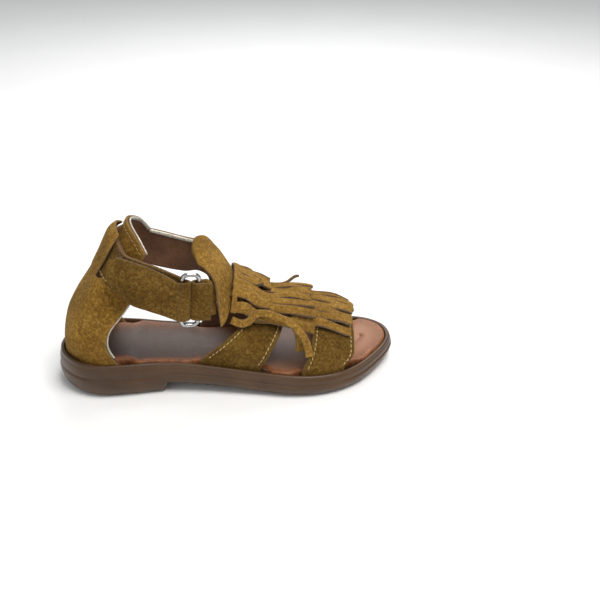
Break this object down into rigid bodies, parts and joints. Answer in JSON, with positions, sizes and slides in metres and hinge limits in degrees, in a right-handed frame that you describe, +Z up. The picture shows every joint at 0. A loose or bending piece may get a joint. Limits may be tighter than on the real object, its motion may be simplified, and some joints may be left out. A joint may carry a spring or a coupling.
{
  "type": "fringed child's sandal",
  "caption": "Child's right sandal: closed suede heel, T-bar with tiered suede fringe, ankle strap closing through a wire ring, moulded rubber sole.",
  "frame": {"origin": "centre of the outsole's box, on the ground", "axes": "+X to the toe, +Z up, closure side (outer side of the right foot) at -Y"},
  "size_m": [0.162, 0.064, 0.0807],
  "materials": {
    "rubber": "satin moulded rubber",
    "board": "fibre board",
    "foam": "soft foam",
    "footbed_leather": "grained leather, burnished tan at the edge",
    "suede": "napped suede",
    "lining": "smooth leather",
    "binding": "pale metallic binding",
    "counter": "stiffener",
    "wire": "polished wire",
    "tape": "touch fastener"
  },
  "bodies": {
    "shoe": {"outsole": "rubber", "insole_board": "board", "footbed_foam": "foam", "footbed_cover": "footbed_leather", "heel_quarter": "suede", "heel_stiffener": "counter", "heel_lining": "lining", "quarter_binding": "binding", "back_loop": "suede", "back_flap": "suede", "back_flap_lining": "lining", "back_flap_binding": "binding", "toe_strap": "suede", "toe_strap_lining": "lining", "lateral_side_strap": "suede", "lateral_side_lining": "lining", "medial_side_strap": "suede", "medial_side_lining": "lining", "t_strap": "suede", "collar_loop": "suede", "ankle_strap": "suede", "ankle_strap_lining": "lining", "ankle_strap_piping": "binding", "ring_strap": "suede", "strap_fold": "suede", "loop_patch": "tape"},
    "ring": {"ring": "wire"},
    "flap": {"closure_flap": "suede", "hook_patch": "tape"},
    "fringe_1": {"fringe_tier_1": "suede"},
    "fringe_2": {"fringe_tier_2": "suede"},
    "fringe_3": {"fringe_tier_3": "suede"}
  },
  "joints": [
    {"name": "ring_rock", "type": "hinge", "parent": "shoe", "child": "ring", "pos_m": [-0.01281, -0.02291, 0.04845], "axis": [0.0732, 0, 0.9973], "range_deg": [-3, 3]},
    {"name": "flap_open", "type": "hinge", "parent": "shoe", "child": "flap", "pos_m": [-0.0203, -0.0241, 0.049], "axis": [0.0732, 0, 0.9973], "range_deg": [0, 130], "deforming": ["strap_fold"]},
    {"name": "fringe_lift", "type": "hinge", "parent": "shoe", "child": "fringe_1", "pos_m": [0.0039, 0, 0.0527], "axis": [0, -1, 0], "range_deg": [0, 24]},
    {"name": "fringe_lift_2", "type": "hinge", "parent": "shoe", "child": "fringe_2", "pos_m": [0.013, 0, 0.0417], "axis": [0, -1, 0], "range_deg": [0, 20]},
    {"name": "fringe_lift_3", "type": "hinge", "parent": "shoe", "child": "fringe_3", "pos_m": [0.03, 0, 0.0379], "axis": [0, -1, 0], "range_deg": [0, 16]}
  ],
  "couplings": [
    {"joint": "fringe_lift_2", "follows": "fringe_lift", "ratio": 0.75},
    {"joint": "fringe_lift_3", "follows": "fringe_lift", "ratio": 0.5}
  ]
}
